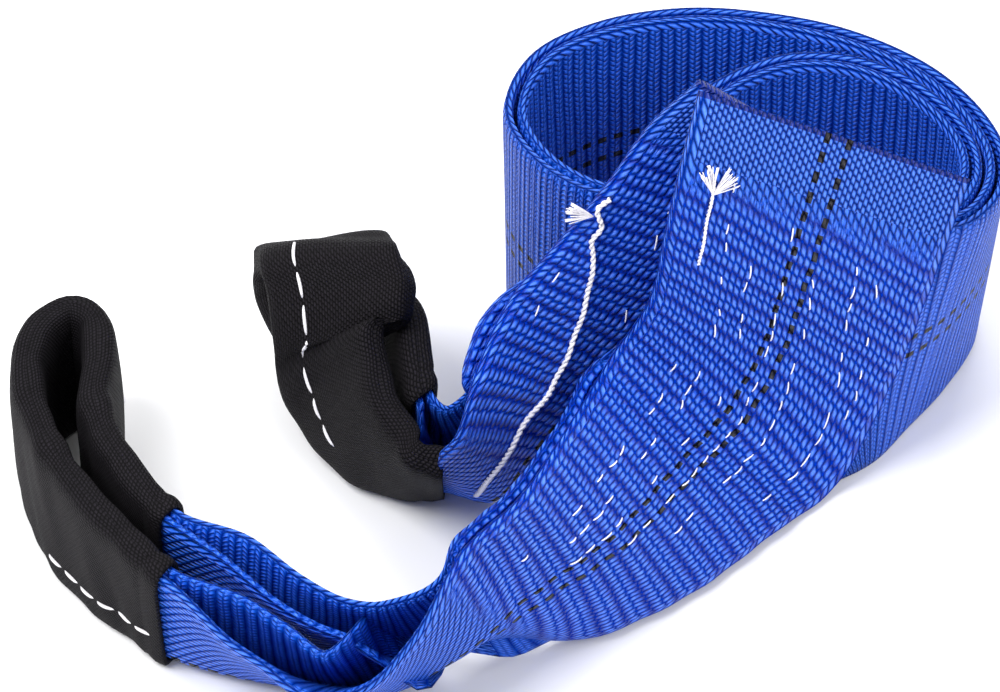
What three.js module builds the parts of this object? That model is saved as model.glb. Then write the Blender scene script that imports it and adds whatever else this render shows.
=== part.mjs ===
// Tow strap: one woven band, coiled on its edge, with a folded, sleeved eye at each end.
// Millimetres, +Z up. The strap stands on the floor plane z = 0.
import * as THREE from 'three';

// Driving sizes of the webbing.
const BAND_WIDTH = 75;
const BAND_THICKNESS = 2.6;
const LAYER_GAP = 0.5;
const LAYER_PITCH = BAND_THICKNESS + LAYER_GAP;
const SEWN_PITCH = LAYER_PITCH + 0.6;
const BAND_STEP = 12;
const EYE_STEP = 4;
const BAND_PARTS = 6;

// In each eye the band is folded in half lengthwise, two layers pressed flat.
const FOLDED_WIDTH = 36;
const FOLDED_THICKNESS = 5.4;

// Driving sizes of the wear sleeves.
const SLEEVE_WALL = 1.2;
const SLEEVE_CLEARANCE = 0.4;
const SLEEVE_CORNER = 1;
const SLEEVE_CORNER_PARTS = 2;
const SLEEVE_MARGIN = SLEEVE_WALL + SLEEVE_CLEARANCE;

// A flat route row: upper edge x y z, then lower edge x y z.
// Front end, from its cut end down to the throat of the eye.
const FRONT_TAIL = [
  [45, -9, 123, 108, 5, 86],
  [43, -19, 111, 103, -3, 74],
  [37, -23, 93, 98, -5, 53],
  [32, -23, 73, 92, -4, 28],
];
const FRONT_SEWN = [
  [26, -24, 57, 80, -11, 3],
  [17, -45, 57, 64, -27, 2.6],
  [5, -67, 54, 45, -46, 2.6],
  [-8, -84, 53, 23, -60, 2.6],
];
// Back end, from its cut end down to the throat of the eye.
const BACK_TAIL = [
  [45, 2, 117, 98, 3, 79],
  [34, 0, 106, 88, -0.5, 63],
  [24, -5, 92, 77, -1.5, 44],
  [13, -9, 78, 62, -3, 22],
];
const BACK_SEWN = [
  [2, -18, 68, 44, -9, 4],
  [-6, -36, 60, 26, -17, 3],
];
const BACK_LEAD = [
  [46, 5, 74, 52, 4, 0.3],
  [66, 5, 75, 70, 4, 0.3],
  [86, 6, 75, 85, 6, 0.3],
];

// Throats of the eyes, where the band closes from flat to folded: upper edge, lower edge, thickness.
const FRONT_THROAT_OUT = [
  [-18, -98, 43, 2, -67, 2, 3.2],
  [-24, -99, 38, -12, -72, 2, 4],
  [-31, -99, 33, -25, -76, 2, 5],
  [-40, -99, 30, -37, -76, 2, 5.4],
  [-50, -92, 33, -48, -74, 2, 5.4],
  [-62, -84, 36, -61, -71, 2, 5.4],
];
const FRONT_THROAT_BACK = [
  [-60, -67, 37, -60, -59, 2, 5.4],
  [-47, -78, 34, -47, -63, 2, 5.4],
  [-36, -84, 32, -36, -65, 2, 5.4],
  [-26, -87, 34, -24, -66, 2, 5],
  [-19, -87, 40, -10, -63, 2, 4],
  [-13, -86, 47, 5, -57, 2, 3.2],
];
const BACK_THROAT_OUT = [
  [-10, -39, 46, 13, -18, 3, 3.4],
  [-14, -36, 38, -1, -15, 2, 4.6],
];
const BACK_THROAT_BACK = [
  [-13, -23, 38, -8, -1, 2, 4.6],
  [-7, -28, 50, 11, -5, 2, 3.4],
];

// Eyes inside the sleeves: lower edge x y z, then the direction of the upper edge from it.
const FRONT_EYE = [
  [-75, -66, 0, 0, -0.25, 0.97],
  [-86, -56, 0, 0, -0.17, 0.98],
  [-98, -43, 0, 0, -0.06, 1],
  [-107, -26, 0, 0, -0.02, 1],
  [-112, -5, 0, 0, 0, 1],
  [-109, 10, 0, 0, 0, 1],
  [-103, 15, 0, 0, 0, 1],
  [-97, 11, 0, 0, 0, 1],
  [-95, -2, 0, 0, 0, 1],
  [-95, -18, 0, 0, 0, 1],
  [-88, -35, 0, 0, -0.06, 1],
  [-75, -50, 0, 0, -0.17, 0.98],
];
const BACK_EYE = [
  [-13, -11, 0, 0, -0.62, 0.78],
  [-22, -12, 0, 0.05, -0.55, 0.83],
  [-31, -9, 0, 0.25, -0.45, 0.86],
  [-39, -2, 1, 0.32, -0.37, 0.87],
  [-46, 6, 4, 0.46, -0.3, 0.83],
  [-50, 12, 10, 0.56, -0.25, 0.79],
  [-52, 15, 18, 0.78, -0.28, 0.54],
  [-53, 19, 26, 0.84, -0.31, 0.44],
  [-54, 24, 31, 0.87, -0.33, 0.37],
  [-56, 30, 33, 0.87, -0.33, 0.36],
  [-58, 36, 30, 0.87, -0.33, 0.35],
  [-59, 40, 24, 0.86, -0.28, 0.42],
  [-58, 40, 15, 0.82, -0.25, 0.5],
  [-53, 35, 6, 0.68, -0.15, 0.71],
  [-45, 24, 1, 0.5, 0.05, 0.86],
  [-32, 13, 0, 0.28, 0.06, 0.95],
  [-20, 3, 0, 0.06, -0.46, 0.88],
];

// The coil, once round from the front right by the back to the front left: upper x y, lower x y.
const COIL_OUTER = [
  [95, -2, 91, 2],
  [109, 4, 99, 13],
  [117, 15, 109, 27],
  [119, 29, 118, 45],
  [114, 46, 117, 62],
  [103, 62, 106, 75],
  [86, 74, 88, 83],
  [66, 81, 67, 87],
  [46, 83, 47, 87],
  [25, 78, 26, 81],
  [9, 66, 11, 70],
  [2, 45, 3, 54],
  [8, 27, 8, 36],
  [22, 14, 21, 21],
  [42, 12, 42, 16],
  [64, 11, 64, 14],
  [82, 14, 81, 17],
];
// The inner round: its start repeats the outer rows inset by two layers, then it leaves the back wall.
const INNER_REPEAT = [1, 2, 3, 4];
const COIL_LOBE = [
  [97, 58, 100, 70],
  [84, 65, 86, 74],
  [70, 65, 72, 71],
  [58, 59, 60, 64],
  [49, 51, 50, 55],
];
const COIL_UPPER_Z = 75;
const BIGHT_RADIUS = 4.5;

function flatBandRow([ux, uy, uz, lx, ly, lz]) {
  const upper = new THREE.Vector3(ux, uy, uz);
  const lower = new THREE.Vector3(lx, ly, lz);
  const up = upper.sub(lower).normalize();
  return { upper: lower.clone().addScaledVector(up, BAND_WIDTH), lower, thickness: BAND_THICKNESS };
}

function freeRow([ux, uy, uz, lx, ly, lz, thickness = BAND_THICKNESS]) {
  return { upper: new THREE.Vector3(ux, uy, uz), lower: new THREE.Vector3(lx, ly, lz), thickness };
}

function foldedRow([x, y, z, dx, dy, dz]) {
  const up = new THREE.Vector3(dx, dy, dz).normalize();
  const halfSleeve = FOLDED_THICKNESS / 2 + SLEEVE_MARGIN;
  const lift = SLEEVE_MARGIN * up.z + halfSleeve * Math.sqrt(1 - up.z * up.z);
  const lower = new THREE.Vector3(x, y, z + lift);
  return { upper: lower.clone().addScaledVector(up, FOLDED_WIDTH), lower, thickness: FOLDED_THICKNESS };
}

function middle(row) {
  return row.upper.clone().add(row.lower).multiplyScalar(0.5);
}

// Rows moved sideways by a distance, to the side that faces out of the eye when it is positive.
function offsetRows(rows, distance) {
  return rows.map((row, i) => {
    const before = rows[Math.max(i - 1, 0)];
    const after = rows[Math.min(i + 1, rows.length - 1)];
    const along = middle(after).sub(middle(before));
    const up = row.upper.clone().sub(row.lower).normalize();
    const side = up.cross(along).normalize().multiplyScalar(distance);
    return { ...row, upper: row.upper.clone().add(side), lower: row.lower.clone().add(side) };
  });
}

function coilRow([ux, uy, lx, ly]) {
  return flatBandRow([ux, uy, COIL_UPPER_Z, lx, ly, 0]);
}

// A leaning row moved up or down until the lower edge of the band just meets the floor.
function settle(row) {
  const up = row.upper.clone().sub(row.lower).normalize();
  const edge = (BAND_THICKNESS / 2) * Math.sqrt(1 - up.z * up.z);
  const move = new THREE.Vector3(0, 0, edge - row.lower.z);
  return { ...row, upper: row.upper.clone().add(move), lower: row.lower.clone().add(move) };
}

// One strand of the coil: the outer round, then the inner round two layers further in.
function coilRows(inset) {
  const outer = COIL_OUTER.map(coilRow);
  const insetTwo = offsetRows(outer, 2 * LAYER_PITCH);
  const base = [...outer, ...INNER_REPEAT.map((i) => insetTwo[i]), ...COIL_LOBE.map(coilRow)];
  return offsetRows(base, inset).map(settle);
}

// A sewn section's other layer, lying against the first one and followed the other way.
function returnRows(rows) {
  return offsetRows(rows, -SEWN_PITCH).reverse();
}

function wholeRoute() {
  const frontSewn = FRONT_SEWN.map((row) => freeRow(row));
  const front = [
    ...FRONT_TAIL.map(flatBandRow),
    ...frontSewn,
    ...FRONT_THROAT_OUT.map(freeRow),
    ...FRONT_EYE.map(foldedRow),
    ...FRONT_THROAT_BACK.map(freeRow),
    ...returnRows(frontSewn),
    ...coilRows(0),
  ];
  const backSewn = BACK_SEWN.map((row) => freeRow(row));
  const back = [
    ...BACK_TAIL.map((row) => freeRow(row)),
    ...backSewn,
    ...BACK_THROAT_OUT.map(freeRow),
    ...BACK_EYE.map(foldedRow),
    ...BACK_THROAT_BACK.map(freeRow),
    ...returnRows(backSewn),
    ...BACK_LEAD.map(flatBandRow),
    ...coilRows(LAYER_PITCH).slice(1),
  ];
  const lastFront = front[front.length - 1];
  const lastBack = back[back.length - 1];
  const outward = middle(lastFront).sub(middle(front[front.length - 2])).setLength(BIGHT_RADIUS);
  const bight = {
    upper: lastFront.upper.clone().add(lastBack.upper).multiplyScalar(0.5).add(outward),
    lower: lastFront.lower.clone().add(lastBack.lower).multiplyScalar(0.5).add(outward),
    thickness: BAND_THICKNESS,
  };
  return [...front, bight, ...back.reverse()];
}

// Smooth curves through the two edges, with the thickness carried along.
function routeCurves(rows) {
  const upper = new THREE.CatmullRomCurve3(rows.map((row) => row.upper), false, 'centripetal');
  const lower = new THREE.CatmullRomCurve3(rows.map((row) => row.lower), false, 'centripetal');
  return { upper, lower, rows };
}

function frameAt(curves, t) {
  const span = curves.rows.length - 1;
  const u = Math.min(Math.max(t / span, 0), 1);
  const delta = 0.02 / span;
  const lower = curves.lower.getPoint(u);
  const upper = curves.upper.getPoint(u);
  const up = upper.clone().sub(lower);
  const width = up.length();
  up.normalize();
  const ahead = Math.min(u + delta, 1);
  const behind = Math.max(u - delta, 0);
  const along = curves.lower.getPoint(ahead).add(curves.upper.getPoint(ahead));
  along.sub(curves.lower.getPoint(behind)).sub(curves.upper.getPoint(behind)).normalize();
  const side = up.clone().cross(along).normalize();
  const index = Math.min(Math.floor(t), span - 1);
  const blend = t - index;
  const thickness = curves.rows[index].thickness * (1 - blend) + curves.rows[index + 1].thickness * blend;
  return { lower, up, side, width, thickness };
}

function routeTimes(rows) {
  const times = [];
  for (let i = 0; i < rows.length - 1; i += 1) {
    const length = middle(rows[i]).distanceTo(middle(rows[i + 1]));
    const folded = rows[i].thickness === FOLDED_THICKNESS;
    const parts = Math.max(1, Math.round(length / (folded ? EYE_STEP : BAND_STEP)));
    for (let k = 0; k < parts; k += 1) times.push(i + k / parts);
  }
  times.push(rows.length - 1);
  return times;
}

function bandGeometry(curves) {
  const times = routeTimes(curves.rows);
  const ring = (BAND_PARTS + 1) * 2;
  const points = [];
  times.forEach((t) => {
    const { lower, up, side, width, thickness } = frameAt(curves, t);
    for (let k = 0; k < ring; k += 1) {
      const near = k <= BAND_PARTS;
      const across = near ? k : ring - 1 - k;
      const point = lower.clone().addScaledVector(up, (width * across) / BAND_PARTS);
      points.push(point.addScaledVector(side, (near ? thickness : -thickness) / 2));
    }
  });
  const faces = [];
  for (let i = 0; i < times.length - 1; i += 1) {
    for (let k = 0; k < ring; k += 1) {
      const next = (k + 1) % ring;
      const a = i * ring + k;
      const b = i * ring + next;
      faces.push(a, b, a + ring, b, b + ring, a + ring);
    }
  }
  const last = (times.length - 1) * ring;
  for (let k = 0; k < BAND_PARTS; k += 1) {
    const m = ring - 1 - k;
    faces.push(k, m, k + 1, k + 1, m, m - 1);
    faces.push(last + k, last + k + 1, last + m, last + k + 1, last + m - 1, last + m);
  }
  return solid(points, faces);
}

function solid(points, faces) {
  const geometry = new THREE.BufferGeometry();
  const flat = [];
  points.forEach((p) => flat.push(p.x, p.y, p.z));
  geometry.setAttribute('position', new THREE.Float32BufferAttribute(flat, 3));
  geometry.setIndex(faces);
  geometry.computeVertexNormals();
  return geometry;
}

// The sleeve: an open tube with rounded corners round the folded band.
function sleeveOutline(width, grow) {
  const radius = SLEEVE_CORNER + grow;
  const rise = width / 2 + SLEEVE_CLEARANCE - SLEEVE_CORNER;
  const out = FOLDED_THICKNESS / 2 + SLEEVE_CLEARANCE - SLEEVE_CORNER;
  const corners = [
    [rise, out, 0],
    [-rise, out, 1],
    [-rise, -out, 2],
    [rise, -out, 3],
  ];
  const outline = [];
  corners.forEach(([x, y, quarter]) => {
    for (let i = 0; i <= SLEEVE_CORNER_PARTS; i += 1) {
      const angle = (quarter + i / SLEEVE_CORNER_PARTS) * (Math.PI / 2);
      outline.push([x + radius * Math.cos(angle), y + radius * Math.sin(angle)]);
    }
  });
  return outline;
}

function sleeveGeometry(curves, fromRow, toRow) {
  const times = routeTimes(curves.rows).filter((t) => t >= fromRow && t <= toRow);
  const count = 4 * (SLEEVE_CORNER_PARTS + 1);
  const points = [];
  times.forEach((t) => {
    const { lower, up, side, width } = frameAt(curves, t);
    const centre = lower.addScaledVector(up, width / 2);
    [SLEEVE_WALL, 0].forEach((grow) => {
      sleeveOutline(width, grow).forEach(([rise, out]) => {
        points.push(centre.clone().addScaledVector(up, rise).addScaledVector(side, out));
      });
    });
  });
  const faces = [];
  const quad = (a, b, c, d) => faces.push(a, b, c, a, c, d);
  const ring = count * 2;
  for (let i = 0; i < times.length - 1; i += 1) {
    for (let k = 0; k < count; k += 1) {
      const next = (k + 1) % count;
      const row = i * ring;
      const after = row + ring;
      quad(row + k, after + k, after + next, row + next);
      quad(row + count + k, row + count + next, after + count + next, after + count + k);
    }
  }
  const end = (times.length - 1) * ring;
  for (let k = 0; k < count; k += 1) {
    const next = (k + 1) % count;
    quad(k, next, count + next, count + k);
    quad(end + k, end + count + k, end + count + next, end + next);
  }
  return solid(points, faces);
}

const webbingBlue = new THREE.MeshStandardMaterial({ color: 0x1450d8, roughness: 0.55, metalness: 0 });
const sleeveBlack = new THREE.MeshStandardMaterial({ color: 0x28262a, roughness: 0.85, metalness: 0 });

const rows = wholeRoute();
const curves = routeCurves(rows);

const frontMouth = FRONT_TAIL.length + FRONT_SEWN.length + FRONT_THROAT_OUT.length;
const backMouth = rows.length - 1 - BACK_TAIL.length - BACK_SEWN.length - BACK_THROAT_OUT.length;

const group = new THREE.Group();

function addPiece(name, geometry, material) {
  const mesh = new THREE.Mesh(geometry, material);
  mesh.name = name;
  group.add(mesh);
}

addPiece('webbing', bandGeometry(curves), webbingBlue);
const frontSleeve = sleeveGeometry(curves, frontMouth, frontMouth + FRONT_EYE.length - 1);
addPiece('sleeve_front', frontSleeve, sleeveBlack);
const backSleeve = sleeveGeometry(curves, backMouth - BACK_EYE.length + 1, backMouth);
addPiece('sleeve_back', backSleeve, sleeveBlack);

// The origin is under the middle of the whole strap, on the floor.
const box = new THREE.Box3().setFromObject(group);
const origin = box.getCenter(new THREE.Vector3()).setZ(box.min.z);
group.children.forEach((mesh) => mesh.geometry.translate(-origin.x, -origin.y, -origin.z));

export default group;
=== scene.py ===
"""Tow strap: one blue woven band coiled on its edge, with a black sleeved eye at each end."""
import math
import random

import bpy
import numpy as np
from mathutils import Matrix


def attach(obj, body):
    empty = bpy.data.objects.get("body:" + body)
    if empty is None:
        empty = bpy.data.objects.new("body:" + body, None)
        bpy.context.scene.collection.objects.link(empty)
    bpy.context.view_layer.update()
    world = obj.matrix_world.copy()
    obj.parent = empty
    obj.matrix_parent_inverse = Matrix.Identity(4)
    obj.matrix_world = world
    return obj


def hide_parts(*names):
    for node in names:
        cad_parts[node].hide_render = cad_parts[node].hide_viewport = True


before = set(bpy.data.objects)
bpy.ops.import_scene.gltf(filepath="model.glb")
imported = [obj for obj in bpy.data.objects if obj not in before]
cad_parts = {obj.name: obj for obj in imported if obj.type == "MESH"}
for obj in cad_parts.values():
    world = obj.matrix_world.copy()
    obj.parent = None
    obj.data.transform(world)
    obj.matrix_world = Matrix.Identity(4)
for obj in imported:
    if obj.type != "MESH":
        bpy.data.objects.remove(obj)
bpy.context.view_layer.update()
for item in bpy.context.selected_objects:
    item.select_set(False)

# Frame of the route: the rows below are in millimetres, in the camera's own coordinates.
MM = 0.001
ROUTE_OFFSET = np.array([1.987, -6.082, -0.018])

# Sizes of the webbing, in millimetres.
BAND_WIDTH = 75.0
BAND_THICKNESS = 2.6
LAYER_PITCH = 3.1
SEWN_PITCH = 3.7
BIGHT_RADIUS = 4.5
COIL_UPPER_Z = 75.0
FOLDED_WIDTH = 36.0
FOLDED_THICKNESS = 5.4
SLEEVE_MARGIN = 1.6

# Flat rows of the route: upper edge, lower edge, and a thickness where the band starts to fold.
FRONT_TAIL = [
    (45, -9, 123, 108, 5, 86),
    (43, -19, 111, 103, -3, 74),
    (37, -23, 93, 98, -5, 53),
    (32, -23, 73, 92, -4, 28),
]
FRONT_SEWN = [
    (26, -24, 57, 80, -11, 3),
    (17, -45, 57, 64, -27, 2.6),
    (5, -67, 54, 45, -46, 2.6),
    (-8, -84, 53, 23, -60, 2.6),
]
FRONT_THROAT_OUT = [
    (-18, -98, 43, 2, -67, 2, 3.2),
    (-24, -99, 38, -12, -72, 2, 4),
    (-31, -99, 33, -25, -76, 2, 5),
    (-40, -99, 30, -37, -76, 2, 5.4),
    (-50, -92, 33, -48, -74, 2, 5.4),
    (-62, -84, 36, -61, -71, 2, 5.4),
]
FRONT_THROAT_BACK = [
    (-60, -67, 37, -60, -59, 2, 5.4),
    (-47, -78, 34, -47, -63, 2, 5.4),
    (-36, -84, 32, -36, -65, 2, 5.4),
    (-26, -87, 34, -24, -66, 2, 5),
    (-19, -87, 40, -10, -63, 2, 4),
    (-13, -86, 47, 5, -57, 2, 3.2),
]
BACK_TAIL = [
    (45, 2, 117, 98, 3, 79),
    (34, 0, 106, 88, -0.5, 63),
    (24, -5, 92, 77, -1.5, 44),
    (13, -9, 78, 62, -3, 22),
]
BACK_SEWN = [
    (2, -18, 68, 44, -9, 4),
    (-6, -36, 60, 26, -17, 3),
]
BACK_THROAT_OUT = [
    (-10, -39, 46, 13, -18, 3, 3.4),
    (-14, -36, 38, -1, -15, 2, 4.6),
]
BACK_THROAT_BACK = [
    (-13, -23, 38, -8, -1, 2, 4.6),
    (-7, -28, 50, 11, -5, 2, 3.4),
]
BACK_LEAD = [
    (46, 5, 74, 52, 4, 0.3),
    (66, 5, 75, 70, 4, 0.3),
    (86, 6, 75, 85, 6, 0.3),
]

# Rows inside the sleeves: lower edge, then the direction of the upper edge from it.
FRONT_EYE = [
    (-75, -66, 0, 0, -0.25, 0.97),
    (-86, -56, 0, 0, -0.17, 0.98),
    (-98, -43, 0, 0, -0.06, 1),
    (-107, -26, 0, 0, -0.02, 1),
    (-112, -5, 0, 0, 0, 1),
    (-109, 10, 0, 0, 0, 1),
    (-103, 15, 0, 0, 0, 1),
    (-97, 11, 0, 0, 0, 1),
    (-95, -2, 0, 0, 0, 1),
    (-95, -18, 0, 0, 0, 1),
    (-88, -35, 0, 0, -0.06, 1),
    (-75, -50, 0, 0, -0.17, 0.98),
]
BACK_EYE = [
    (-13, -11, 0, 0, -0.62, 0.78),
    (-22, -12, 0, 0.05, -0.55, 0.83),
    (-31, -9, 0, 0.25, -0.45, 0.86),
    (-39, -2, 1, 0.32, -0.37, 0.87),
    (-46, 6, 4, 0.46, -0.3, 0.83),
    (-50, 12, 10, 0.56, -0.25, 0.79),
    (-52, 15, 18, 0.78, -0.28, 0.54),
    (-53, 19, 26, 0.84, -0.31, 0.44),
    (-54, 24, 31, 0.87, -0.33, 0.37),
    (-56, 30, 33, 0.87, -0.33, 0.36),
    (-58, 36, 30, 0.87, -0.33, 0.35),
    (-59, 40, 24, 0.86, -0.28, 0.42),
    (-58, 40, 15, 0.82, -0.25, 0.5),
    (-53, 35, 6, 0.68, -0.15, 0.71),
    (-45, 24, 1, 0.5, 0.05, 0.86),
    (-32, 13, 0, 0.28, 0.06, 0.95),
    (-20, 3, 0, 0.06, -0.46, 0.88),
]

# The coil, once round: upper x y, lower x y; then the lobe of the inner round.
COIL_OUTER = [
    (95, -2, 91, 2),
    (109, 4, 99, 13),
    (117, 15, 109, 27),
    (119, 29, 118, 45),
    (114, 46, 117, 62),
    (103, 62, 106, 75),
    (86, 74, 88, 83),
    (66, 81, 67, 87),
    (46, 83, 47, 87),
    (25, 78, 26, 81),
    (9, 66, 11, 70),
    (2, 45, 3, 54),
    (8, 27, 8, 36),
    (22, 14, 21, 21),
    (42, 12, 42, 16),
    (64, 11, 64, 14),
    (82, 14, 81, 17),
]
INNER_REPEAT = (1, 2, 3, 4)
COIL_LOBE = [
    (97, 58, 100, 70),
    (84, 65, 86, 74),
    (70, 65, 72, 71),
    (58, 59, 60, 64),
    (49, 51, 50, 55),
]


def unit(vector):
    return vector / np.linalg.norm(vector, axis=-1, keepdims=True)


def free_row(values):
    thickness = values[6] if len(values) > 6 else BAND_THICKNESS
    return np.array([*values[:6], thickness], dtype=float)


def flat_row(values):
    upper, lower = np.array(values[:3], float), np.array(values[3:6], float)
    return np.concatenate([lower + unit(upper - lower) * BAND_WIDTH, lower, [BAND_THICKNESS]])


def folded_row(values):
    up = unit(np.array(values[3:], float))
    half = FOLDED_THICKNESS / 2 + SLEEVE_MARGIN
    lift = SLEEVE_MARGIN * up[2] + half * math.sqrt(max(0.0, 1 - up[2] ** 2))
    lower = np.array(values[:3], float) + [0, 0, lift]
    return np.concatenate([lower + up * FOLDED_WIDTH, lower, [FOLDED_THICKNESS]])


def middle(row):
    return (row[:3] + row[3:6]) / 2


def offset_rows(rows, distance):
    moved = []
    for i, row in enumerate(rows):
        along = middle(rows[min(i + 1, len(rows) - 1)]) - middle(rows[max(i - 1, 0)])
        side = unit(np.cross(unit(row[:3] - row[3:6]), along)) * distance
        moved.append(np.concatenate([row[:3] + side, row[3:6] + side, row[6:]]))
    return moved


def settle(row):
    up = unit(row[:3] - row[3:6])
    rise = BAND_THICKNESS / 2 * math.sqrt(max(0.0, 1 - up[2] ** 2)) - row[5]
    return row + np.array([0, 0, rise, 0, 0, rise, 0])


def coil_rows(inset):
    outer = [flat_row((ux, uy, COIL_UPPER_Z, lx, ly, 0)) for ux, uy, lx, ly in COIL_OUTER]
    lobe = [flat_row((ux, uy, COIL_UPPER_Z, lx, ly, 0)) for ux, uy, lx, ly in COIL_LOBE]
    inner = offset_rows(outer, 2 * LAYER_PITCH)
    base = outer + [inner[i] for i in INNER_REPEAT] + lobe
    return [settle(row) for row in offset_rows(base, inset)]


def whole_route():
    """The route's rows, and the row index where each named stretch starts."""
    front_sewn = [free_row(r) for r in FRONT_SEWN]
    back_sewn = [free_row(r) for r in BACK_SEWN]
    front_parts = {
        "tail": [flat_row(r) for r in FRONT_TAIL],
        "sewn": front_sewn,
        "throat_out": [free_row(r) for r in FRONT_THROAT_OUT],
        "eye": [folded_row(r) for r in FRONT_EYE],
        "throat_back": [free_row(r) for r in FRONT_THROAT_BACK],
        "return": offset_rows(front_sewn, -SEWN_PITCH)[::-1],
        "coil": coil_rows(0),
    }
    back_parts = {
        "tail": [free_row(r) for r in BACK_TAIL],
        "sewn": back_sewn,
        "throat_out": [free_row(r) for r in BACK_THROAT_OUT],
        "eye": [folded_row(r) for r in BACK_EYE],
        "throat_back": [free_row(r) for r in BACK_THROAT_BACK],
        "return": offset_rows(back_sewn, -SEWN_PITCH)[::-1],
        "lead": [flat_row(r) for r in BACK_LEAD],
        "coil": coil_rows(LAYER_PITCH)[1:],
    }
    front = [row for part in front_parts.values() for row in part]
    back = [row for part in back_parts.values() for row in part]
    outward = unit(middle(front[-1]) - middle(front[-2])) * BIGHT_RADIUS
    bight = (front[-1] + back[-1]) / 2
    bight[:3] += outward
    bight[3:6] += outward
    rows = np.array([*front, bight, *back[::-1]])
    starts = {}
    count = 0
    for name, part in front_parts.items():
        starts["front_" + name] = (count, count + len(part) - 1)
        count += len(part)
    count = len(rows)
    for name, part in back_parts.items():
        starts["back_" + name] = (count - len(part), count - 1)
        count -= len(part)
    rows[:, :3] -= ROUTE_OFFSET
    rows[:, 3:6] -= ROUTE_OFFSET
    return rows, starts


def catmull(points, times):
    """Centripetal Catmull-Rom through points, at row numbers that may be fractions."""
    ends = [2 * points[0] - points[1], *points, 2 * points[-1] - points[-2]]
    padded = np.array(ends)
    index = np.clip(np.floor(times).astype(int), 0, len(points) - 2)
    t = (times - index)[:, None]
    p0, p1, p2, p3 = (padded[index + k] for k in range(4))

    def gap(a, b):
        return np.maximum(np.sqrt(np.linalg.norm(b - a, axis=1)), 1e-4)[:, None]

    d0, d1, d2 = gap(p0, p1), gap(p1, p2), gap(p2, p3)
    m1 = ((p1 - p0) / d0 - (p2 - p0) / (d0 + d1) + (p2 - p1) / d1) * d1
    m2 = ((p2 - p1) / d1 - (p3 - p1) / (d1 + d2) + (p3 - p2) / d2) * d1
    c2 = -3 * p1 + 3 * p2 - 2 * m1 - m2
    c3 = 2 * p1 - 2 * p2 + m1 + m2
    return p1 + m1 * t + c2 * t ** 2 + c3 * t ** 3


def smooth(value):
    value = np.clip(value, 0, 1)
    return value * value * (3 - 2 * value)


def window(s, start, end, soft):
    return smooth((s - start) / soft) * smooth((end - s) / soft)


class Route:
    """The band's centre surface, sampled by distance along the strap in millimetres."""

    DENSE = 24
    NEAR = 0.02

    def __init__(self):
        self.rows, self.parts = whole_route()
        span = len(self.rows) - 1
        times = np.linspace(0, span, span * self.DENSE + 1)
        upper = catmull(self.rows[:, :3], times)
        lower = catmull(self.rows[:, 3:6], times)
        mid = (upper + lower) / 2
        step = np.linalg.norm(np.diff(mid, axis=0), axis=1)
        self.times = times
        self.along = np.concatenate([[0], np.cumsum(step)])
        self.length = self.along[-1]
        self.bight = self.at_row(self.parts["front_coil"][1] + 1)

    def at_row(self, row):
        return float(np.interp(row, self.times, self.along))

    def stretch(self, name):
        first, last = self.parts[name]
        return self.at_row(first), self.at_row(last)

    def frames(self, s):
        """Lower edge, up, side, width, fold and outer sign at each distance s.

        The outer side of an eye's loop is +side before the turn at mid-length, and -side after it.
        """
        t = np.interp(s, self.along, self.times)
        upper = catmull(self.rows[:, :3], t)
        lower = catmull(self.rows[:, 3:6], t)
        span = len(self.rows) - 1
        ahead, behind = np.minimum(t + self.NEAR, span), np.maximum(t - self.NEAR, 0)
        along = catmull(self.rows[:, :3], ahead) + catmull(self.rows[:, 3:6], ahead)
        along -= catmull(self.rows[:, :3], behind) + catmull(self.rows[:, 3:6], behind)
        chord = upper - lower
        width = np.linalg.norm(chord, axis=1)
        up = unit(chord)
        side = unit(np.cross(up, along))
        thickness = np.interp(t, np.arange(len(self.rows)), self.rows[:, 6])
        fold = (thickness - BAND_THICKNESS) / (FOLDED_THICKNESS - BAND_THICKNESS)
        fold = np.clip(fold, 0, 1)
        sign = np.where(s < self.bight, 1.0, -1.0)
        return lower, up, side, width, fold, sign


route = Route()

# Stretches of the band, in millimetres from the front cut end.
FRONT_PANEL = (0.0, route.stretch("front_sewn")[1])
FRONT_RETURN = route.stretch("front_return")
FRONT_THROAT_A = (route.stretch("front_sewn")[1], route.stretch("front_eye")[0])
FRONT_THROAT_B = (route.stretch("front_eye")[1], route.stretch("front_return")[0])
BACK_PANEL = (route.stretch("back_sewn")[0], route.length)
BACK_RETURN = route.stretch("back_return")


# Sewn parts: how far they reach past their rows, how softly they start, and their furrows.
PLAIN_END = 15.0
PANEL_REACH = 14.0
PANEL_FADE = 10.0
RETURN_REACH = 10.0
RETURN_FADE = 20.0
FURROW_PITCH = 6.2
FURROW_SLOPE = 0.28


def sewn_amount(s):
    """How sewn the band is: 1 where its layers are stitched together, 0 where it is free."""
    total = window(s, PLAIN_END, FRONT_PANEL[1] + PANEL_REACH, PANEL_FADE)
    for first, last in (FRONT_RETURN, BACK_RETURN):
        total = total + window(s, first - RETURN_REACH, last + RETURN_REACH, RETURN_FADE)
    total = total + window(s, BACK_PANEL[0] - PANEL_REACH, BACK_PANEL[1] - PLAIN_END, PANEL_FADE)
    return np.clip(total, 0, 1)


# The lengthwise fold: its roundness, the air between its wings, and how far a turning wing gathers.
FOLD_ROUND = 9
WING_AIR = 0.08
GATHER = 0.9
# How far the wings of the front throats stand apart at their tips.
NEAR_SPREAD = 4.5
REAR_SPREAD = 3.0
LOWER_WING_SPREAD = 0.7
SPREAD_CURVE = 1.3
SPREAD_INSET = 8
SPREAD_FADE = 22


def throat_spread(s):
    near = NEAR_SPREAD * window(s, FRONT_THROAT_A[0] + SPREAD_INSET, FRONT_THROAT_A[1], SPREAD_FADE)
    rear = REAR_SPREAD * window(s, FRONT_THROAT_B[0], FRONT_THROAT_B[1] - SPREAD_INSET, SPREAD_FADE)
    return near + rear


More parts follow.
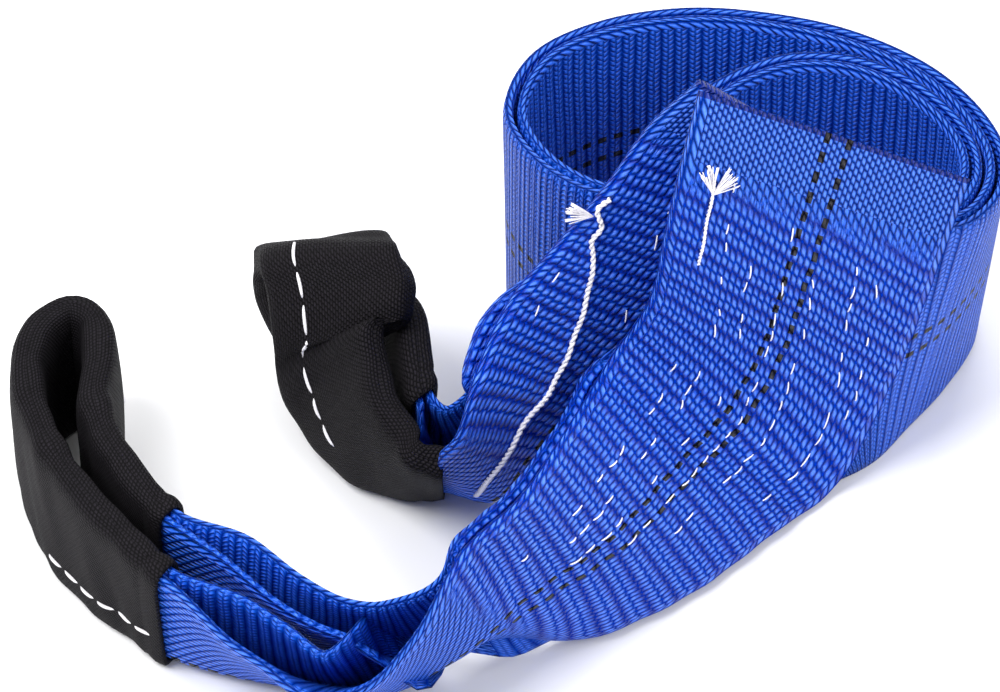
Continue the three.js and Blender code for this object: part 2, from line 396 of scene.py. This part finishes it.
def band_point(s, w, depth):
    """Points of the band: s along, w across from the lower selvage, depth out of its outer face."""
    lower, up, side, width, fold, sign = route.frames(s)
    outer = side * sign[:, None]
    g = smooth(fold)
    share = w / BAND_WIDTH
    fold_at = 0.5 * (1 - g)
    upper_wing = share >= 0.5
    reach = np.abs(share - 0.5) * 2
    # The upper wing runs from the fold line to the upper edge.
    rise_upper = fold_at + (1 - fold_at) * reach
    # The lower wing turns about the fold line, drawn together while it turns.
    turn = math.pi * g
    gather = 1 - GATHER * np.sin(turn) ** GATHER
    long_wing = 0.5 + 0.5 * g
    rise_lower = fold_at - long_wing * gather * reach * np.cos(turn)
    out_lower = -long_wing * gather * reach * np.sin(turn) * width
    from_fold = np.clip(reach * FOLD_ROUND, 0, 1)
    round_off = np.sqrt(np.clip(1 - (1 - from_fold) ** 2, 0, 1))
    gap = (BAND_THICKNESS / 2 + WING_AIR) * g * round_off
    rise = np.where(upper_wing, rise_upper, rise_lower)
    out = np.where(upper_wing, gap, out_lower - gap)
    spread = throat_spread(s)
    apart = np.where(upper_wing, spread, -LOWER_WING_SPREAD * spread)
    out = out + apart * reach ** SPREAD_CURVE * g
    point = lower + up * (rise * width)[:, None] + outer * out[:, None]
    normal_rise = np.where(upper_wing, 0.0, np.sin(turn))
    normal_out = np.where(upper_wing, 1.0, np.cos(turn))
    edge = (1 - from_fold) * g
    normal = up * (normal_rise - edge)[:, None] + outer * (normal_out * (1 - edge))[:, None]
    return point + unit(normal) * depth[:, None]


PUCKER_HEIGHT = 0.35
LONG_SWAY = 0.15
SHORT_SWAY = 0.108


def relief(s, w, outside):
    """How far the woven face stands out of the flat band, in millimetres."""
    puckers = PUCKER_HEIGHT * np.sin(math.pi * (s + FURROW_SLOPE * w) / FURROW_PITCH) * sewn_amount(s)
    sway = LONG_SWAY * np.sin(s / 13.0 + w / 21.0) + SHORT_SWAY * np.sin(s / 7.1 - w / 15.0)
    return puckers + sway if outside else puckers / 2 - sway


ALONG_STEP = 2.1
ACROSS_PARTS = 34
# The selvages are slimmer than the band, and its cut ends thicker.
EDGE_ROUND = 1.6
EDGE_SLIMMING = 0.4
BEAD_LENGTH = 1.8
BEAD_GROWTH = 0.12
# Where both faces show ribs, and where the outer wall of the coil ends.
COIL_RIBS = (640.0, 1500.0)
OUTER_WALL_END = 940.0
RIB_FADE = 12
ABOVE_FLOOR = 0.0001


def make_mesh(name, points, faces, loop_uv=None, values=None):
    """A smooth mesh object, with its weave coordinates and point values if it has any."""
    mesh = bpy.data.meshes.new(name)
    mesh.from_pydata([tuple(p) for p in points], [], [tuple(f) for f in faces])
    if loop_uv is not None:
        layer = mesh.uv_layers.new(name="weave")
        layer.data.foreach_set("uv", np.asarray(loop_uv, dtype=np.float32).ravel())
    for key, data in (values or {}).items():
        attribute = mesh.attributes.new(name=key, type="FLOAT", domain="POINT")
        attribute.data.foreach_set("value", np.asarray(data, dtype=np.float32))
    mesh.polygons.foreach_set("use_smooth", [True] * len(mesh.polygons))
    mesh.update()
    piece = bpy.data.objects.new(name, mesh)
    bpy.context.scene.collection.objects.link(piece)
    return piece


def build_webbing():
    """The band as one closed mesh: its outer face, its inner face and its edges."""
    count = int(round(route.length / ALONG_STEP)) + 1
    stations = np.linspace(0, route.length, count)
    across = np.linspace(0, BAND_WIDTH, ACROSS_PARTS + 1)
    ring = 2 * (ACROSS_PARTS + 1)
    widths = np.concatenate([across, across[::-1]])
    outside = np.concatenate([np.ones(len(across)), np.zeros(len(across))])
    s = np.repeat(stations, ring)
    w = np.tile(widths, count)
    out = np.tile(outside, count)
    from_edge = np.minimum(w, BAND_WIDTH - w)
    slim = 1 - EDGE_SLIMMING * np.exp(-((from_edge / EDGE_ROUND) ** 2))
    end = np.minimum(s, route.length - s)
    bead = 1 + BEAD_GROWTH * np.exp(-((end / BEAD_LENGTH) ** 2))
    half = BAND_THICKNESS / 2 * slim * bead
    lift = np.where(out > 0.5, relief(s, w, True), -relief(s, w, False))
    depth = np.where(out > 0.5, half + lift * slim, -half + lift * slim)
    points = band_point(s, w, depth) * MM
    points[:, 2] = np.maximum(points[:, 2], ABOVE_FLOOR)
    faces = []
    uv = []
    wrap = BAND_WIDTH + BAND_THICKNESS
    path = np.concatenate([across, wrap + across])
    for i in range(count - 1):
        a0, a1 = stations[i] * MM, stations[i + 1] * MM
        for k in range(ring):
            n = (k + 1) % ring
            faces.append((i * ring + k, (i + 1) * ring + k, (i + 1) * ring + n, i * ring + n))
            b0 = path[k] * MM
            b1 = (path[n] if n else 2 * wrap) * MM
            uv.extend([(a0, b0), (a1, b0), (a1, b1), (a0, b1)])
    last = (count - 1) * ring
    for k in range(ACROSS_PARTS):
        m = ring - 1 - k
        b0, b1 = across[k] * MM, across[k + 1] * MM
        faces.append((k, k + 1, m - 1, m))
        faces.append((last + k, last + m, last + m - 1, last + k + 1))
        uv.extend([(0, b0), (0, b1), (0, b1), (0, b0)])
        uv.extend([(route.length * MM, b) for b in (b0, b0, b1, b1)])
    in_coil = window(s, COIL_RIBS[0], COIL_RIBS[1], RIB_FADE)
    outer_wall = window(s, COIL_RIBS[0], OUTER_WALL_END, RIB_FADE) * (out < 0.5)
    ribs = np.maximum(1 - out, in_coil)
    values = {"sewn": sewn_amount(s), "ribs": ribs, "outer_wall": outer_wall}
    return make_mesh("webbing_woven", points, faces, uv, values)


# The sleeves: wall, clearance round the band, mesh steps, squareness of the tube and creases.
SLEEVE_WALL = 1.2
SLEEVE_GAP = 0.4
SLEEVE_STEP = 1.3
SLEEVE_AROUND = 72
SLEEVE_POWER = 0.34
SLEEVE_INSIDE = 0.25
CREASE_DEPTH = 0.38
CREASE_COUNT = 7
# The hem: a rolled rim near the mouth and a sewn groove behind it (distance in, width, height).
HEM_ROLL = (2.2, 1.6, 0.35)
HEM_GROOVE = (5.0, 0.9, -0.3)


def sleeve_outline(grow, count):
    """A flattened tube's outline: rise along the width, out across it, and distance round it."""
    half_w = FOLDED_WIDTH / 2 + SLEEVE_GAP + grow
    half_t = FOLDED_THICKNESS / 2 + SLEEVE_GAP + grow
    angle = np.linspace(0, 2 * math.pi, 721)
    x = half_w * np.sign(np.cos(angle)) * np.abs(np.cos(angle)) ** SLEEVE_POWER
    y = half_t * np.sign(np.sin(angle)) * np.abs(np.sin(angle)) ** SLEEVE_POWER
    length = np.concatenate([[0], np.cumsum(np.hypot(np.diff(x), np.diff(y)))])
    at = np.linspace(0, length[-1], count, endpoint=False)
    return np.interp(at, length, x), np.interp(at, length, y), at


def crease(s, around, seed):
    """Height of a sleeve's soft folds, laid from a few slanted waves."""
    draw = random.Random(seed)
    total = np.zeros_like(s)
    for _ in range(CREASE_COUNT):
        pitch = draw.uniform(9, 26)
        slope = draw.uniform(-0.5, 0.5)
        phase = draw.uniform(0, 6.28)
        total += np.sin((s + slope * around) * 2 * math.pi / pitch + phase) * pitch / 60
    return total * CREASE_DEPTH


def sleeve_base(s, rise, out, lift):
    """Points of a tube round the folded band, lifted outward from its outline."""
    lower, up, side, width, _, sign = route.frames(s)
    outer = side * sign[:, None]
    centre = lower + up * (width / 2)[:, None]
    normal = unit(np.stack([rise / (FOLDED_WIDTH / 2) ** 2, out / (FOLDED_THICKNESS / 2) ** 2], axis=1))
    rise = rise + normal[:, 0] * lift
    out = out + normal[:, 1] * lift
    return centre + up * rise[:, None] + outer * out[:, None]


def build_sleeve(name, start, end, seed):
    """A sleeve as one closed mesh with a wall, and its flat size in metres."""
    count = int(round((end - start) / SLEEVE_STEP)) + 1
    stations = np.linspace(start, end, count)
    ring = 2 * SLEEVE_AROUND
    shift = SLEEVE_AROUND
    outer_x, outer_y, outer_at = sleeve_outline(SLEEVE_WALL, SLEEVE_AROUND)
    inner_x, inner_y, _ = sleeve_outline(SLEEVE_INSIDE, SLEEVE_AROUND)
    s = np.repeat(stations, ring)
    x = np.tile(np.concatenate([outer_x, inner_x]), count)
    y = np.tile(np.concatenate([outer_y, inner_y]), count)
    around = np.tile(np.concatenate([outer_at, outer_at]), count)
    is_outer = np.tile(np.concatenate([np.ones(SLEEVE_AROUND), np.zeros(SLEEVE_AROUND)]), count)
    lift = crease(s, around, seed) * is_outer
    from_mouth = np.minimum(s - start, end - s)
    for place, breadth, height in (HEM_ROLL, HEM_GROOVE):
        lift += is_outer * height * np.exp(-(((from_mouth - place) / breadth) ** 2))
    points = sleeve_base(s, x, y, lift) * MM
    points[:, 2] = np.maximum(points[:, 2], ABOVE_FLOOR)
    faces = []
    uv = []
    perimeter = outer_at[-1] + outer_at[1]
    for i in range(count - 1):
        a0, a1 = (stations[i] - start) * MM, (stations[i + 1] - start) * MM
        for k in range(SLEEVE_AROUND):
            n = (k + 1) % SLEEVE_AROUND
            b0, b1 = outer_at[k] * MM, (outer_at[n] if n else perimeter) * MM
            row, after = i * ring, (i + 1) * ring
            faces.append((row + k, after + k, after + n, row + n))
            uv.extend([(a0, b0), (a1, b0), (a1, b1), (a0, b1)])
            faces.append((row + shift + k, row + shift + n, after + shift + n, after + shift + k))
            uv.extend([(a0, b0), (a0, b1), (a1, b1), (a1, b0)])
    last = (count - 1) * ring
    for k in range(SLEEVE_AROUND):
        n = (k + 1) % SLEEVE_AROUND
        b0, b1 = outer_at[k] * MM, (outer_at[n] if n else perimeter) * MM
        faces.append((k, n, shift + n, shift + k))
        faces.append((last + k, last + shift + k, last + shift + n, last + n))
        uv.extend([(0, b0), (0, b1), (0, b1), (0, b0)])
        uv.extend([(0.001, b0), (0.001, b0), (0.001, b1), (0.001, b1)])
    piece = make_mesh(name, points, faces, uv)
    return piece, perimeter * MM, (end - start) * MM


TUBE_SIDES = 8


def tubes(name, paths):
    """One mesh of closed thin tubes, each given as points and a radius at every point, in mm."""
    points = []
    faces = []
    sides = TUBE_SIDES
    turn = np.arange(sides) * 2 * math.pi / sides
    for path, radius in paths:
        along = unit(np.gradient(path, axis=0))
        guide = np.array([0.3, 0.2, 0.93]) if abs(along[0, 2]) < 0.8 else np.array([1.0, 0.1, 0.0])
        first = unit(np.cross(along, guide))
        second = np.cross(along, first)
        start = len(points)
        for i in range(len(path)):
            for angle in turn:
                aside = first[i] * math.cos(angle) + second[i] * math.sin(angle)
                points.append((path[i] + aside * radius[i]) * MM)
        for i in range(len(path) - 1):
            for k in range(sides):
                a, b = start + i * sides + k, start + i * sides + (k + 1) % sides
                faces.append((a, b, b + sides, a + sides))
        faces.append(tuple(start + sides - 1 - k for k in range(sides)))
        end = start + (len(path) - 1) * sides
        faces.append(tuple(end + k for k in range(sides)))
    return make_mesh(name, points, faces)


def on_band(s, w, above):
    """Points above the outer face of the band, its relief included."""
    return band_point(s, w, BAND_THICKNESS / 2 + relief(s, w, True) + above)


STITCH_POINTS = 7
STITCH_SINK = 0.25
PINCHED = 0.45


def stitch(ends, rise, radius, place):
    """A stitch between two (s, w) ends: it comes out of the cloth, arches and goes back in."""
    t = np.linspace(0, 1, STITCH_POINTS)
    s = ends[0][0] + (ends[1][0] - ends[0][0]) * t
    w = ends[0][1] + (ends[1][1] - ends[0][1]) * t
    swell = np.sin(math.pi * t) ** 0.5
    thick = radius * (PINCHED + (1 - PINCHED) * swell)
    return place(s, w, rise * swell - STITCH_SINK), thick


# Thread rows of the front and back sewn parts: distance along the band and across it.
SEWN_ROWS = [
    ((44, 65), (90, 58), (149, 57)),
    ((17, 61), (40, 58), (86, 52), (140, 50)),
    ((21, 52), (50, 50), (81, 44), (140, 42)),
    ((23, 42), (50, 40), (82, 36), (130, 34)),
    ((25, 34), (50, 31), (85, 26), (120, 25)),
    ((28, 22), (50, 19), (72, 13), (95, 12)),
    ((26, 16), (50, 12), (70, 8)),
]
BACK_SEWN_ROWS = [((1797, 64), (1815, 68), (1830, 71)), ((1812, 40), (1835, 50), (1858, 58))]
SEWN_STITCH = 4.2
SEWN_STITCH_PITCH = 5.1
SEWN_THREAD_RADIUS = 0.2
SEWN_RISE = 0.5


def row_stitches(rows, seen, seed):
    """Stitches along the rows. Only the share seen of them shows: the rest sinks into the cloth."""
    length = SEWN_STITCH
    draw = random.Random(seed)
    stitches = []
    for row in rows:
        knots = np.array(row, float)
        at = knots[0, 0]
        while at < knots[-1, 0]:
            if draw.random() < seen:
                w0 = np.interp(at, knots[:, 0], knots[:, 1]) + draw.uniform(-0.4, 0.4)
                w1 = np.interp(at + length, knots[:, 0], knots[:, 1]) + draw.uniform(-0.5, 0.5)
                reach = length * draw.uniform(0.6, 1.1)
                ends = ((at, w0), (at + reach, w1))
                stitches.append(stitch(ends, SEWN_RISE, SEWN_THREAD_RADIUS, on_band))
            at += SEWN_STITCH_PITCH
    return stitches


def twisted(path, radius, pitch):
    """Two plies laid round each other along a path of points in mm."""
    step = np.linalg.norm(np.diff(path, axis=0), axis=1)
    run = np.concatenate([[0], np.cumsum(step)])
    fine = np.arange(0, run[-1], 0.35)
    line = np.stack([np.interp(fine, run, path[:, k]) for k in range(3)], axis=1)
    along = unit(np.gradient(line, axis=0))
    first = unit(np.cross(along, [0.2, -0.7, 0.68]))
    second = np.cross(along, first)
    plies = []
    for phase in (0, math.pi):
        angle = (fine / pitch * 2 * math.pi + phase)[:, None]
        ply = line + (first * np.cos(angle) + second * np.sin(angle)) * radius * 0.6
        plies.append((ply, np.full(len(fine), radius * 0.68)))
    return plies


def lie_thread(knots, above):
    """A loose thread lying along (s, w) knots of the band, with a soft bow between them."""
    knots = np.array(knots, float)
    times = np.linspace(0, len(knots) - 1, 12 * len(knots))
    flat = catmull(np.column_stack([knots, np.zeros(len(knots))]), times)
    return on_band(flat[:, 0], flat[:, 1], np.full(len(times), above))


def fan(root, way, spread, length, count, seed):
    """A frayed end: fine filaments opening from one point of the band."""
    draw = random.Random(seed)
    hairs = []
    t = np.linspace(0, 1, 6)
    for _ in range(count):
        turn = draw.uniform(-spread, spread)
        reach = length * draw.uniform(0.75, 1.05)
        c, n = math.cos(turn), math.sin(turn)
        ds, dw = way[0] * c - way[1] * n, way[0] * n + way[1] * c
        lift = 0.5 + t * draw.uniform(0.3, 2.2)
        curl = draw.uniform(-0.5, 0.5) * t ** 2
        s = root[0] + ds * reach * t - dw * curl
        w = root[1] + dw * reach * t + ds * curl
        hairs.append((on_band(s, w, lift), 0.17 - 0.06 * t))
    return hairs


FRONT_LOOSE_THREAD = [(15, 69), (18, 66.5), (22, 66), (28, 65.6), (34, 65.4), (41, 65)]
BACK_LOOSE_THREAD = [
    (1853, 73), (1848, 73.5), (1845, 70), (1840, 69.5), (1836, 66), (1825, 59.5),
    (1813, 54), (1803, 51), (1793, 51), (1784, 51), (1777, 52), (1770, 49),
]


def build_threads():
    """The sewing thread of each end: its stitch rows, one loose thread and the frayed tails."""
    front = row_stitches(SEWN_ROWS, 0.6, seed=5)
    front += twisted(lie_thread(FRONT_LOOSE_THREAD, above=0.45), radius=0.34, pitch=2.4)
    front += fan((21, 66), (-0.82, 0.55), spread=0.35, length=6.5, count=26, seed=11)
    front += fan((21, 66), (-0.85, -0.62), spread=0.38, length=6.8, count=26, seed=12)
    back = row_stitches(BACK_SEWN_ROWS, 0.4, seed=6)
    back += twisted(lie_thread(BACK_LOOSE_THREAD, above=0.6), radius=0.55, pitch=3.4)
    back += fan((1846, 73.5), (-0.35, 0.95), spread=0.4, length=8.0, count=34, seed=13)
    return tubes("sewing_thread_front", front), tubes("sewing_thread_back", back)


# Seams of the sleeves: side of the cloth, then distance along the strap and rise from its middle.
FRONT_SEAMS = [
    (1, ((249, -6), (256, -8), (266, -9.6), (275, -10.6), (283, -11.2), (292, -11.6))),
    (1, ((348, -6), (362, -5))),
    (-1, ((300, 6), (318, 3))),
    (-1, ((382, -5), (396, -3.5), (410, -2), (421, -0.5))),
]
BACK_SEAMS = [
    (1, ((1688, -8.5), (1699, -8.8), (1712, -7.4), (1723, -6), (1729, -7.2), (1737, -8.5))),
    (-1, ((1628, -6), (1652, -7), (1676, -7))),
]
SEAM_PITCH = 7.0
SEAM_STITCH = 5.9
SEAM_RADIUS = 0.42
SEAM_RISE = 0.45


def sleeve_face(s, rise, face, above, seed):
    """Points above a sleeve's face, its creases included."""
    half_w = FOLDED_WIDTH / 2 + SLEEVE_GAP + SLEEVE_WALL
    half_t = FOLDED_THICKNESS / 2 + SLEEVE_GAP + SLEEVE_WALL
    share = np.clip(np.abs(rise) / half_w, 0, 0.999) ** (2 / SLEEVE_POWER)
    out = face * half_t * (1 - share) ** (SLEEVE_POWER / 2)
    x, y, at = sleeve_outline(SLEEVE_WALL, SLEEVE_AROUND)
    nearest = np.argmin(np.hypot(x[None] - rise[:, None], y[None] - out[:, None]), axis=1)
    return sleeve_base(s, rise, out, crease(s, at[nearest], seed) + above)


def build_seams(name, seams, seed):
    """The white stitches of a sleeve's seams."""
    paths = []
    for face, knots in seams:
        knots = np.array(knots, float)
        at = knots[0, 0]

        def place(s, rise, above):
            return sleeve_face(s, rise, face, above, seed)

        while at + SEAM_STITCH <= knots[-1, 0] + 1:
            ends = [(q, np.interp(q, knots[:, 0], knots[:, 1])) for q in (at, at + SEAM_STITCH)]
            paths.append(stitch(ends, SEAM_RISE, SEAM_RADIUS, place))
            at += SEAM_PITCH
    return tubes(name, paths)


# How full a woven cell is along the cloth and across it.
FULL_ALONG = 3.4
FULL_ACROSS = 3.2


class Nodes:
    """Short helpers for building a material's node tree."""

    def __init__(self, name):
        self.material = bpy.data.materials.new(name)
        self.material.use_nodes = True
        self.tree = self.material.node_tree
        self.tree.nodes.clear()
        self.output = self.tree.nodes.new("ShaderNodeOutputMaterial")
        self.shader = self.tree.nodes.new("ShaderNodeBsdfPrincipled")
        self.tree.links.new(self.shader.outputs[0], self.output.inputs["Surface"])

    def link(self, source, target):
        if isinstance(source, (int, float, tuple)):
            target.default_value = source
        else:
            self.tree.links.new(source, target)

    def math(self, operation, first, second=0.0, third=0.0, clamp=False):
        node = self.tree.nodes.new("ShaderNodeMath")
        node.operation = operation
        node.use_clamp = clamp
        for value, target in zip((first, second, third), node.inputs):
            self.link(value, target)
        return node.outputs[0]

    def uv(self):
        """Distance along the cloth and across it, in millimetres."""
        node = self.tree.nodes.new("ShaderNodeUVMap")
        node.uv_map = "weave"
        split = self.tree.nodes.new("ShaderNodeSeparateXYZ")
        self.link(node.outputs[0], split.inputs[0])
        along = self.math("MULTIPLY", split.outputs[0], 1000.0)
        return along, self.math("MULTIPLY", split.outputs[1], 1000.0)

    def value(self, name):
        node = self.tree.nodes.new("ShaderNodeAttribute")
        node.attribute_name = name
        return node.outputs["Fac"]

    def noise(self, scale, detail):
        node = self.tree.nodes.new("ShaderNodeTexNoise")
        vector = self.tree.nodes.new("ShaderNodeTexCoord").outputs["Object"]
        self.link(vector, node.inputs["Vector"])
        node.inputs["Scale"].default_value = scale
        node.inputs["Detail"].default_value = detail
        return node.outputs["Fac"]

    def mix(self, factor, first, second, kind="RGBA"):
        node = self.tree.nodes.new("ShaderNodeMix")
        node.data_type = kind
        self.link(factor, node.inputs["Factor"])
        self.link(first, node.inputs["A"])
        self.link(second, node.inputs["B"])
        return node.outputs["Result"]

    def blend(self, factor, first, second):
        return self.mix(factor, first, second, "FLOAT")

    def distance(self, value, centre):
        return self.math("ABSOLUTE", self.math("SUBTRACT", value, centre))

    def waves(self, value, pitch):
        """Rounded ribs across a length, 0 in the groove between two and 1 on top."""
        return self.math("ABSOLUTE", self.math("SINE", self.math("MULTIPLY", value, math.pi / pitch)))

    def petals(self, along, across, pitch_along, pitch_across, slant=0.0, stagger=0.5):
        """Oval cells in lanes, 1 in the middle of each and 0 at its border."""
        lane = self.math("DIVIDE", across, pitch_across)
        odd = self.math("MULTIPLY", self.math("FLOORED_MODULO", self.math("FLOOR", lane), 2.0), stagger)
        run = self.math("ADD", self.math("DIVIDE", along, pitch_along), odd)
        local_b = self.math("SUBTRACT", self.math("FRACT", lane), 0.5)
        run = self.math("MULTIPLY_ADD", local_b, slant, run)
        local_a = self.math("SUBTRACT", self.math("FRACT", run), 0.5)
        falls = []
        for local, fullness in ((local_a, FULL_ALONG), (local_b, FULL_ACROSS)):
            share = self.math("MULTIPLY", self.math("ABSOLUTE", local), 2.0)
            falls.append(self.math("POWER", share, fullness))
        return self.math("SUBTRACT", 1.0, self.math("ADD", *falls), clamp=True)

    def bump(self, height, distance):
        node = self.tree.nodes.new("ShaderNodeBump")
        node.inputs["Distance"].default_value = distance
        self.link(height, node.inputs["Height"])
        self.link(node.outputs[0], self.shader.inputs["Normal"])


GROUND_BLUE = (0.0, 0.02, 0.27, 1)
PETAL_BLUE = (0.003, 0.13, 0.88, 1)
# The ground blue of the sewn parts, which is also the colour that the painted shade in the pucker furrows
# darkens to.
SEWN_GROUND_AND_FURROW_SHADE_BLUE = (0.0005, 0.03, 0.44, 1)
# The pale blue is a painted highlight laid on the tops of the woven cells.
PAINTED_HIGHLIGHT_BLUE = (0.11, 0.27, 0.95, 1)
TRACER_DARK = (0.002, 0.002, 0.008, 1)
TRACER_HALF_GAP = 3.0
TRACER_HALF_WIDTH = 0.85
TRACER_PITCH = 4.6
TRACER_SHARE = 0.55
RIB_PITCH = 3.4
WALL_RIB_PITCH = 2.2
SELVAGE = 2.4
CUT_BEAD = 1.3
FRONT_FACE_MIDDLE = BAND_WIDTH / 2
BACK_FACE_MIDDLE = BAND_WIDTH * 1.5 + BAND_THICKNESS

# Woven cells: pitch along, pitch across, slant, and how far every second lane is shifted.
SEWN_CELLS = (FURROW_PITCH / 2, 1.85, 0.2, 0.12)
PLAIN_CELLS = (2.6, 1.7, 0.5)
END_CELLS = (1.9, 1.25, 0.2)
RIB_CELLS = (1.5, RIB_PITCH / 2)
BRAID_CELLS = (2.9, SELVAGE, 1.1)
RIB_SLANT = 0.9
DRIFT = 2.4


def webbing_material():
    n = Nodes("webbing_blue")
    along, across = n.uv()
    sewn = n.value("sewn")
    ribbed = n.value("ribs")
    outer_wall = n.value("outer_wall")
    drift = n.math("SUBTRACT", n.noise(28.0, 3.0), 0.5)
    loose_along = n.math("ADD", along, n.math("MULTIPLY", drift, DRIFT))
    sheared = n.math("MULTIPLY_ADD", across, FURROW_SLOPE, loose_along)
    # The free faces: plain cells, and tighter ones at the cut ends.
    from_end = n.math("MINIMUM", along, n.math("SUBTRACT", route.length, along))
    at_end = n.math("LESS_THAN", from_end, PLAIN_END)
    fine = n.blend(at_end, n.petals(loose_along, across, *PLAIN_CELLS), n.petals(along, across, *END_CELLS))
    # The ribbed faces: slimmer ribs on the coil's outer wall, with slanted cells on each.
    rib = n.blend(outer_wall, n.waves(loose_along, RIB_PITCH), n.waves(along, WALL_RIB_PITCH))
    twill = n.math("ADD", across, n.math("MULTIPLY", rib, RIB_SLANT))
    rib_cells = n.petals(twill, loose_along, *RIB_CELLS)
    ribs = n.math("MULTIPLY", n.math("MULTIPLY_ADD", rib_cells, 0.6, 0.4), n.math("POWER", rib, 0.7))
    cell = n.blend(sewn, n.blend(ribbed, fine, ribs), n.petals(sheared, across, *SEWN_CELLS))
    edge_way = n.math("MINIMUM", across, n.distance(across, BAND_WIDTH))
    on_edge = n.math("LESS_THAN", edge_way, SELVAGE)
    cell = n.blend(on_edge, cell, n.petals(loose_along, across, *BRAID_CELLS))
    # Painted shade: the furrows between the puckers of the sewn parts are darkened towards the ground
    # colour, and the same furrows also sink the bump.
    ridge = n.math("POWER", n.waves(sheared, FURROW_PITCH), 0.8)
    furrow_shade_and_bump = n.math("MULTIPLY", n.math("SUBTRACT", 1.0, ridge), sewn)
    speck = n.noise(900.0, 1.0)
    tone = n.math("MULTIPLY_ADD", n.math("SUBTRACT", speck, 0.5), 0.7, cell)
    tone = n.math("SUBTRACT", tone, n.math("MULTIPLY", furrow_shade_and_bump, 0.9), clamp=True)
    tone = n.math("MULTIPLY", tone, n.math("GREATER_THAN", from_end, CUT_BEAD))
    ground = n.mix(sewn, GROUND_BLUE, SEWN_GROUND_AND_FURROW_SHADE_BLUE)
    colour = n.mix(tone, ground, PETAL_BLUE)
    # Painted highlight: the brightest tops of the cells are pushed towards a pale blue, more strongly on
    # the sewn parts and near the cut ends.
    painted_highlight = n.math("MULTIPLY", n.math("SUBTRACT", tone, 0.55, clamp=True), 1.9, clamp=True)
    highlight_strength = n.math("MULTIPLY_ADD", sewn, 0.45, 0.3)
    highlight_strength = n.math("MAXIMUM", highlight_strength, n.math("MULTIPLY", at_end, 0.55))
    colour = n.mix(n.math("MULTIPLY", painted_highlight, highlight_strength), colour, PAINTED_HIGHLIGHT_BLUE)
    middles = (FRONT_FACE_MIDDLE, BACK_FACE_MIDDLE)
    lines = [n.distance(n.distance(across, at), TRACER_HALF_GAP) for at in middles]
    on_line = n.math("LESS_THAN", n.math("MINIMUM", *lines), TRACER_HALF_WIDTH)
    dash = n.math("LESS_THAN", n.math("FRACT", n.math("DIVIDE", along, TRACER_PITCH)), TRACER_SHARE)
    colour = n.mix(n.math("MULTIPLY", on_line, dash), colour, TRACER_DARK)
    n.link(colour, n.shader.inputs["Base Color"])
    n.shader.inputs["Roughness"].default_value = 0.46
    n.link(n.math("MULTIPLY", cell, 0.55), n.shader.inputs["Specular IOR Level"])
    height = n.math("SUBTRACT", n.math("MULTIPLY", cell, 0.8), n.math("MULTIPLY", furrow_shade_and_bump, 0.4))
    n.bump(height, 0.0016)
    return n.material


SLEEVE_DARK = (0.0006, 0.0005, 0.0008, 1)
SLEEVE_LIGHT = (0.013, 0.011, 0.015, 1)


def sleeve_material():
    n = Nodes("sleeve_black")
    along, across = n.uv()
    cell = n.petals(along, across, 1.15, 0.8, 0.3)
    speck = n.noise(700.0, 2.0)
    tone = n.math("MULTIPLY", cell, n.math("MULTIPLY_ADD", speck, 1.4, 0.2), clamp=True)
    n.link(n.mix(tone, SLEEVE_DARK, SLEEVE_LIGHT), n.shader.inputs["Base Color"])
    n.shader.inputs["Roughness"].default_value = 0.68
    n.shader.inputs["Specular IOR Level"].default_value = 0.12
    n.bump(cell, 0.00045)
    return n.material


def thread_material():
    n = Nodes("thread_white")
    n.shader.inputs["Base Color"].default_value = (0.86, 0.84, 0.88, 1)
    n.shader.inputs["Roughness"].default_value = 0.6
    n.bump(n.noise(2500.0, 2.0), 0.0002)
    return n.material


def finish_piece(piece, material, node=None):
    piece.data.materials.append(material)
    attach(piece, "root")
    if node:
        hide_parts(node)


# The camera looks down from EYE at TARGET. The lights look at TARGET too.
TARGET = (np.array([0, 43, 0]) - ROUTE_OFFSET) * MM
EYE = (np.array([0, -774.5, 736.0]) - ROUTE_OFFSET) * MM
ELEVATION = 42.0


def make_camera():
    data = bpy.data.cameras.new("camera")
    data.lens = 158.4
    data.sensor_width = 36.0
    data.clip_start = 0.05
    camera = bpy.data.objects.new("camera", data)
    bpy.context.scene.collection.objects.link(camera)
    camera.location = EYE
    camera.rotation_euler = (math.radians(90 - ELEVATION), 0, 0)
    bpy.context.scene.camera = camera


def area_light(name, place, power, size):
    data = bpy.data.lights.new(name, "AREA")
    data.energy = power
    data.size = size
    lamp = bpy.data.objects.new(name, data)
    bpy.context.scene.collection.objects.link(lamp)
    lamp.location = place
    aim = TARGET - np.array(place)
    flat = math.hypot(aim[0], aim[1])
    lamp.rotation_euler = (math.atan2(flat, -aim[2]), 0, math.atan2(-aim[0], aim[1]))


def make_stage():
    bpy.ops.mesh.primitive_plane_add(size=6.0, location=(0, 0, 0))
    floor = bpy.context.active_object
    floor.name = "floor"
    n = Nodes("floor_white")
    n.shader.inputs["Base Color"].default_value = (0.92, 0.92, 0.93, 1)
    n.shader.inputs["Roughness"].default_value = 0.9
    floor.data.materials.append(n.material)
    world = bpy.data.worlds.new("studio")
    bpy.context.scene.world = world
    world.use_nodes = True
    world.node_tree.nodes["Background"].inputs[0].default_value = (1, 1, 1, 1)
    world.node_tree.nodes["Background"].inputs[1].default_value = 0.75
    area_light("key", (-0.55, -0.35, 1.05), 13.0, 0.6)
    area_light("fill", (0.75, -0.55, 0.7), 5.0, 0.7)
    area_light("top", (0.1, 0.5, 1.2), 6.0, 0.6)
    bpy.context.scene.view_settings.view_transform = "Standard"


make_camera()
make_stage()

blue = webbing_material()
black = sleeve_material()
white = thread_material()

webbing = build_webbing()
finish_piece(webbing, blue, "webbing")

for thread in build_threads():
    finish_piece(thread, white)

SLEEVES = (("front", "front_eye", 3, FRONT_SEAMS), ("back", "back_eye", 8, BACK_SEAMS))
for label, stretch, seed, seams in SLEEVES:
    first, last = route.stretch(stretch)
    finish_piece(build_seams("seam_stitches_" + label, seams, seed), white)
    sleeve, around, long = build_sleeve("sleeve_" + label + "_cloth", first, last, seed)
    finish_piece(sleeve, black, "sleeve_" + label)
